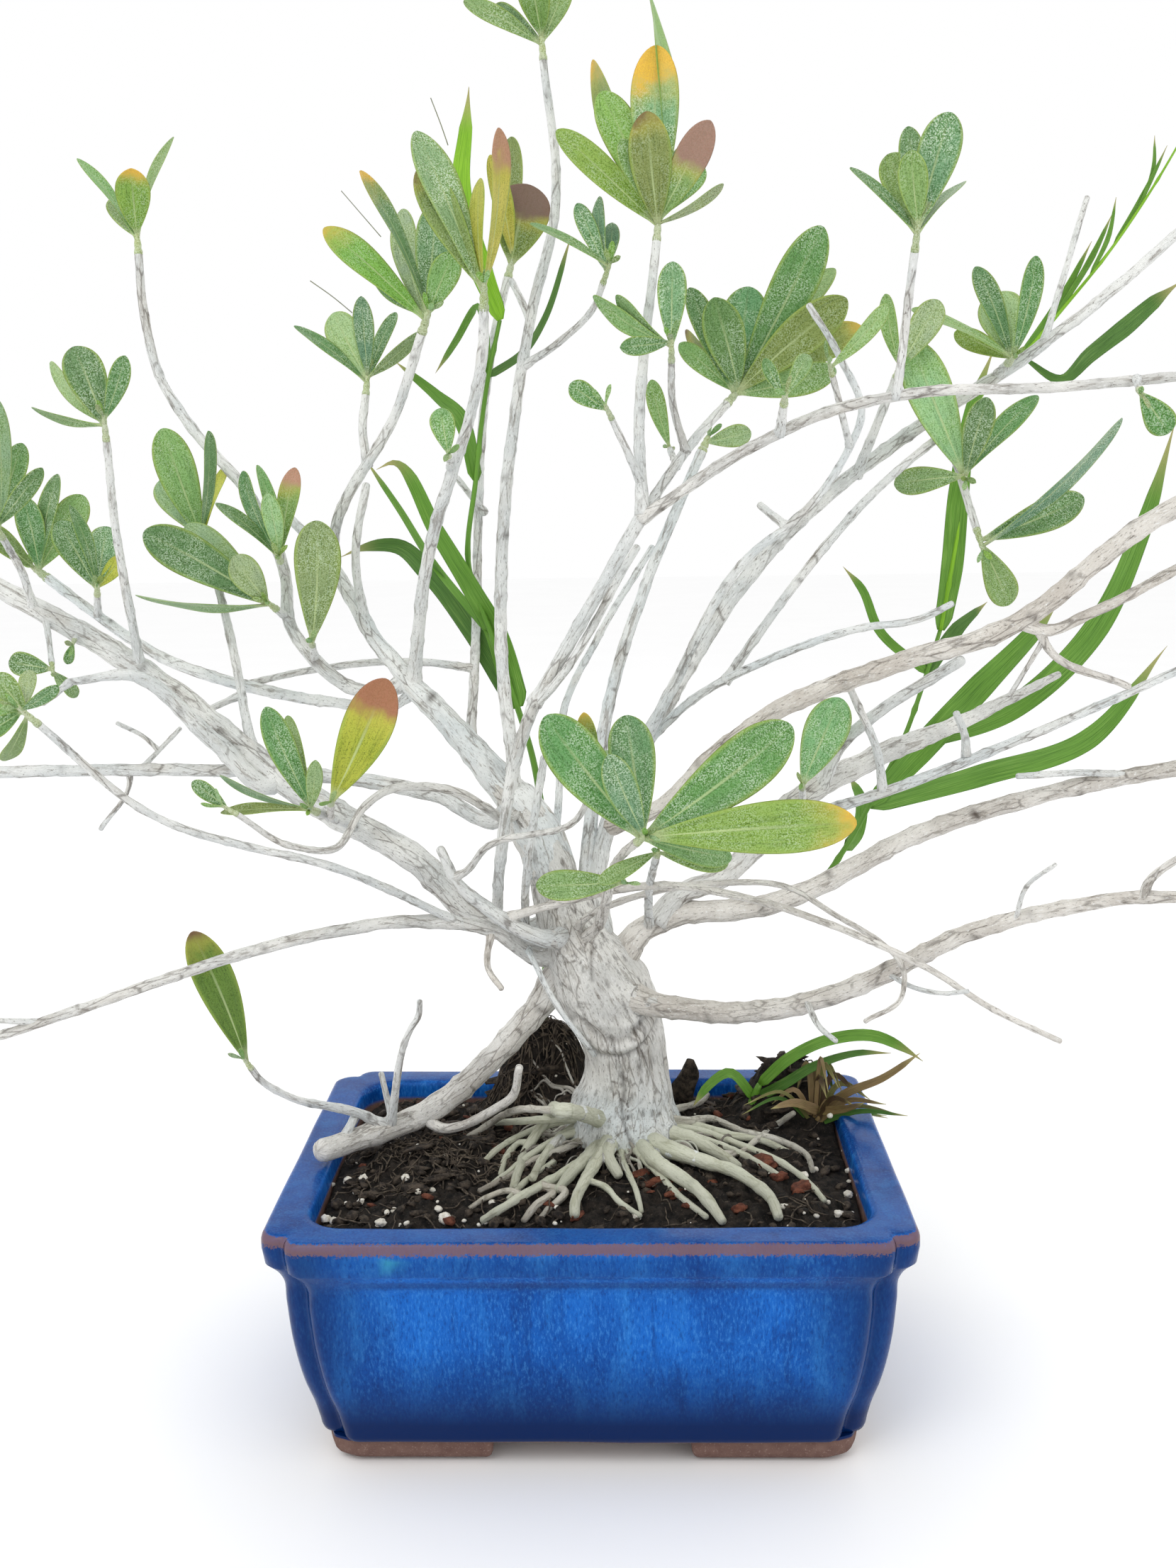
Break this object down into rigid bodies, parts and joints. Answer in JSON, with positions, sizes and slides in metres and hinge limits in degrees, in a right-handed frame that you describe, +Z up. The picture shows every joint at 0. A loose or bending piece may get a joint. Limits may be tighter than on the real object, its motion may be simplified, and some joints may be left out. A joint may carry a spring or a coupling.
{
  "type": "olive bonsai",
  "caption": "Olive bonsai with pale spreading branches, surface roots and tufts of silvery leaves, standing with a few grass weeds in a blue glazed rectangular pot on corner feet.",
  "frame": {"origin": "middle of the pot's footprint, on the ground under the feet", "axes": "+X to the viewer's right along the pot's long side, +Y away from the viewer across the pot, +Z up"},
  "size_m": [0.5078, 0.2307, 0.4678],
  "materials": {
    "glaze": "glossy mottled cobalt blue glaze, brown on the rim's edge, bare brown clay on the feet",
    "drain_mesh": "black plastic mesh",
    "potting_mix": "moist dark bark and peat mix with white perlite grains",
    "bark": "dry ash-grey bark, whitish with beige limbs and fine lengthwise cracks",
    "leaf": "satin green leaf with a frosty bloom, paler underneath",
    "yellowing_leaf": "satin leaf turning from green to yellow with a brown tip",
    "grass": "satin bright green grass blade",
    "dead_grass": "dry straw-brown grass blade"
  },
  "bodies": {
    "root": {"drain_screen_left": "drain_mesh", "drain_screen_right": "drain_mesh", "grass_dead": "dead_grass", "grass_left": "grass", "grass_low": "grass", "grass_right": "grass", "leaf_arch_drop": "leaf", "leaf_bowed_left": "leaf", "leaf_centre_low": "leaf", "leaf_centre_pale": "leaf", "leaf_centre_right": "leaf", "leaf_left_drop": "leaf", "leaf_left_single": "leaf", "leaf_mid_left": "leaf", "leaf_middle_single": "leaf", "leaf_pale_middle": "leaf", "leaf_pale_right": "leaf", "leaf_tuft_spur": "leaf", "leaf_twin_twig": "leaf", "leaf_yellow_left": "yellowing_leaf", "leaf_yellow_low": "yellowing_leaf", "leaves_arch_stub": "leaf", "leaves_centre": "leaf", "leaves_centre_left": "leaf", "leaves_crown_left": "leaf", "leaves_crown_left_back": "leaf", "leaves_crown_small": "leaf", "leaves_end_left": "leaf", "leaves_end_left_level": "leaf", "leaves_end_left_low": "leaf", "leaves_end_right": "leaf", "leaves_end_right_arch": "leaf", "leaves_end_right_low": "leaf", "leaves_end_right_mid": "leaf", "leaves_end_right_upper": "leaf", "leaves_far_left": "leaf", "leaves_hanger": "leaf", "leaves_hanger_upper": "leaf", "leaves_left_bunch": "leaf", "leaves_left_edge": "leaf", "leaves_left_edge_back": "leaf", "leaves_left_high": "leaf", "leaves_left_inner": "leaf", "leaves_left_low": "leaf", "leaves_left_pair": "leaf", "leaves_left_small": "leaf", "leaves_left_spread": "leaf", "leaves_right_edge": "leaf", "leaves_right_high": "leaf", "leaves_right_tuft": "leaf", "leaves_tall_tip": "leaf", "leaves_top": "leaf", "leaves_top_left": "leaf", "leaves_tuft": "leaf", "leaves_tuft_left": "leaf", "leaves_upper_left": "leaf", "leaves_upper_left_crown": "leaf", "pot": "glaze", "soil": "potting_mix", "tree_wood": "bark"}
  },
  "joints": []
}
